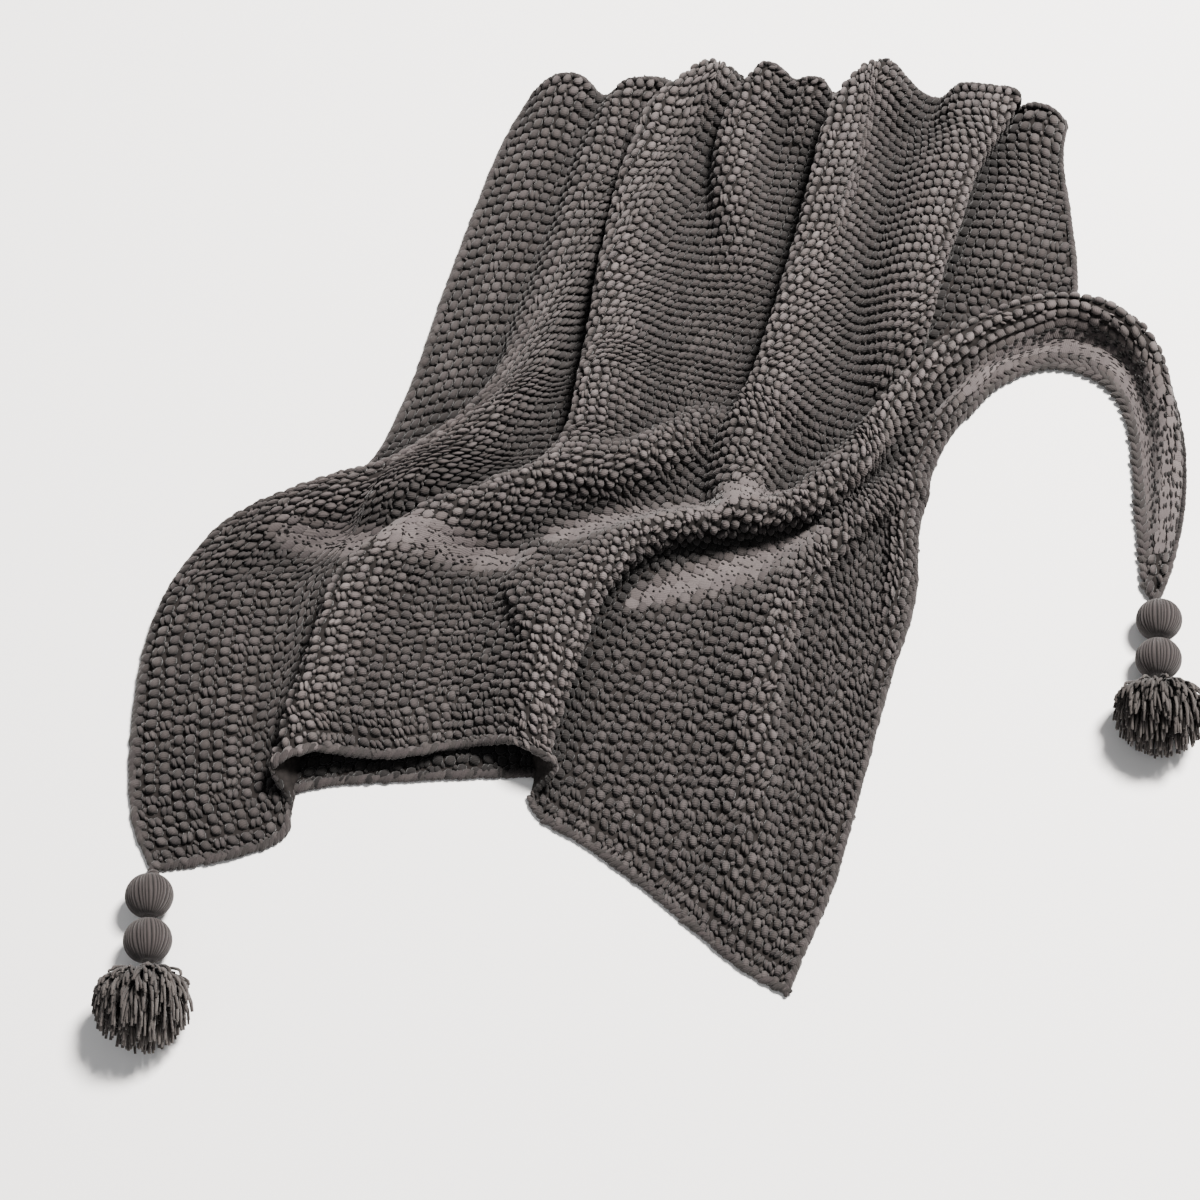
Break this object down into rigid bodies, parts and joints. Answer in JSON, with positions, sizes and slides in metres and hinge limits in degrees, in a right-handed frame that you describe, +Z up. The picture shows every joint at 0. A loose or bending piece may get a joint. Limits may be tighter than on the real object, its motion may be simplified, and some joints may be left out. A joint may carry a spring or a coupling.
{
  "type": "chunky knit throw blanket",
  "caption": "Chunky seed-stitch knit throw laid out in uneven draped folds, with a wound-ball and pompom tassel at two of its corners.",
  "frame": {"origin": "centre of the footprint, on the floor that the blanket lies on", "axes": "+Z up from the floor, +Y towards the far end of the folds, X across the blanket's width with the side that bears the long curved strip at +X"},
  "size_m": [1.3246, 1.4216, 0.0966],
  "materials": {
    "knit_yarn": "matte chunky knitted wool-blend yarn, warm charcoal",
    "tassel_yarn": "matte wound and cut yarn, warm charcoal"
  },
  "bodies": {
    "root": {"blanket": "knit_yarn", "left_corner_tie": "tassel_yarn", "left_upper_ball": "tassel_yarn", "left_lower_ball": "tassel_yarn", "left_head_wrap": "tassel_yarn", "left_pompom": "tassel_yarn", "right_corner_tie": "tassel_yarn", "right_upper_ball": "tassel_yarn", "right_lower_ball": "tassel_yarn", "right_head_wrap": "tassel_yarn", "right_pompom": "tassel_yarn"}
  },
  "joints": []
}
